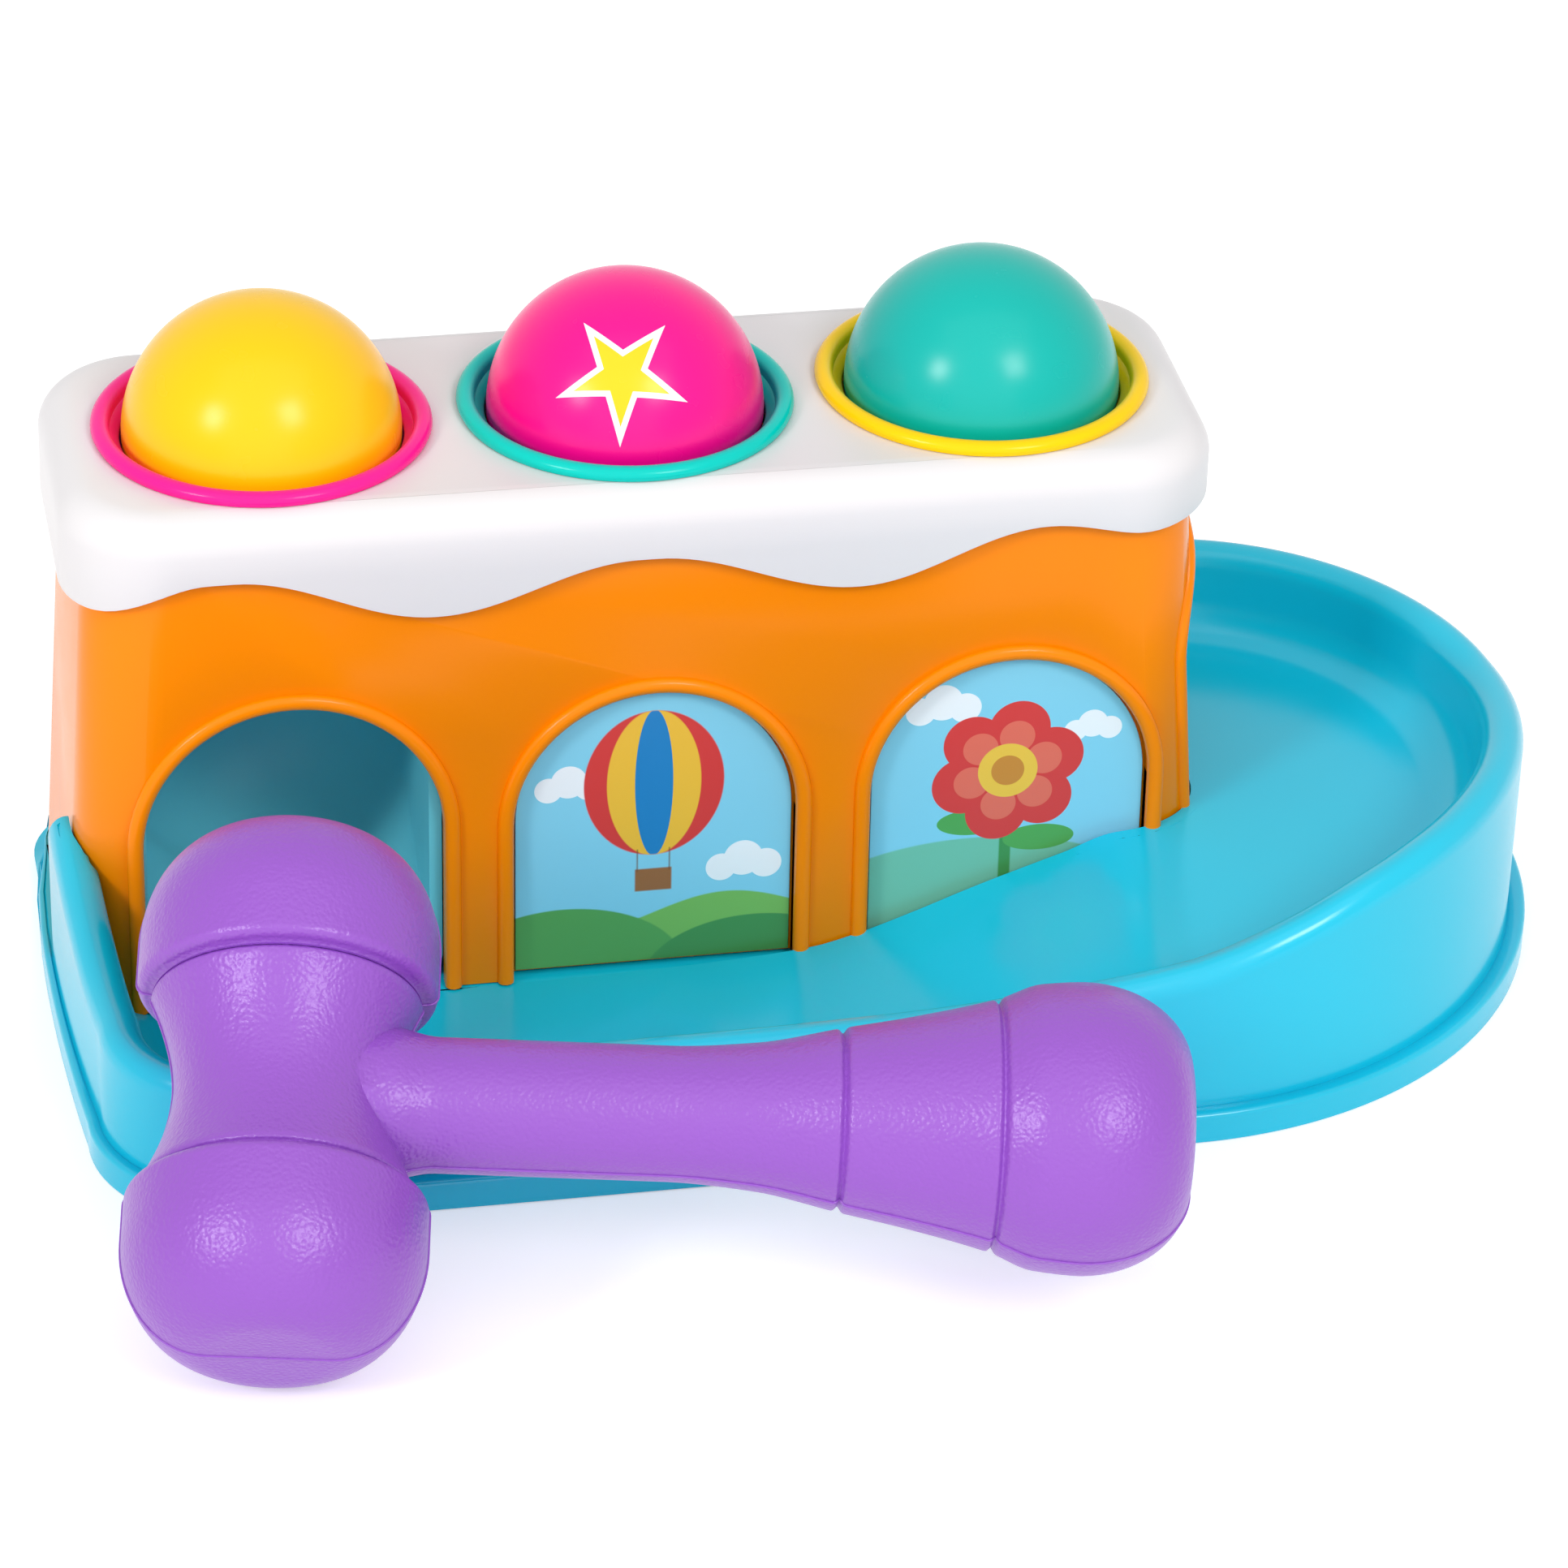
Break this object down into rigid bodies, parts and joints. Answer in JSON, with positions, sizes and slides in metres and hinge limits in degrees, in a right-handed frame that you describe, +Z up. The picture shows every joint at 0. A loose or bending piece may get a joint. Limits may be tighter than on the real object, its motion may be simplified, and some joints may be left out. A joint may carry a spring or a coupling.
{
  "type": "pound and roll tower",
  "caption": "Plastic toddler pounding toy: balls pushed through coloured collars in a tower cap drop to a chute and roll down a curved track in the base tray; with hammer.",
  "frame": {"origin": "under the middle ball, on the underside of the base tray, which stands on the ground", "axes": "+X along the tower towards the platform end, +Y away from the track side, +Z up"},
  "size_m": [0.2662, 0.205, 0.1224],
  "materials": {
    "turquoise": "glossy",
    "orange": "glossy",
    "white": "glossy",
    "print_middle": "printed label",
    "print_right": "printed label",
    "collar_pink": "glossy",
    "collar_teal": "glossy",
    "collar_yellow": "glossy",
    "ball_yellow": "glossy",
    "ball_pink": "glossy",
    "ball_teal": "glossy",
    "purple": "satin, grained",
    "screw_steel": "zinc plated"
  },
  "bodies": {
    "tower": {"base_tray": "turquoise", "ball_chute": "turquoise", "tower_shell": "orange", "top_cap": "white", "picture_middle": "print_middle", "picture_right": "print_right", "collar_left": "collar_pink", "collar_middle": "collar_teal", "collar_right": "collar_yellow", "tower_screw_1": "screw_steel", "tower_screw_2": "screw_steel", "tower_screw_3": "screw_steel", "tower_screw_4": "screw_steel", "cap_screw_1": "screw_steel", "cap_screw_2": "screw_steel", "cap_screw_3": "screw_steel", "cap_screw_4": "screw_steel"},
    "ball_left": {"ball_left_upper": "ball_yellow", "ball_left_lower": "ball_yellow"},
    "ball_middle": {"ball_middle_upper": "ball_pink", "ball_middle_lower": "ball_pink"},
    "ball_right": {"ball_right_upper": "ball_teal", "ball_right_lower": "ball_teal"},
    "hammer": {"hammer_upper": "purple", "hammer_lower": "purple"}
  },
  "joints": [
    {"name": "ball_left_drop", "type": "slide", "parent": "tower", "child": "ball_left", "axis": [0, 0, 1], "range_m": [-0.065, 0.03]},
    {"name": "ball_middle_drop", "type": "slide", "parent": "tower", "child": "ball_middle", "axis": [0, 0, 1], "range_m": [-0.04, 0.03]},
    {"name": "ball_right_drop", "type": "slide", "parent": "tower", "child": "ball_right", "axis": [0, 0, 1], "range_m": [-0.044, 0.03]},
    {"name": "hammer_lift", "type": "slide", "parent": "tower", "child": "hammer", "axis": [0, 0, 1], "range_m": [0, 0.12]}
  ]
}
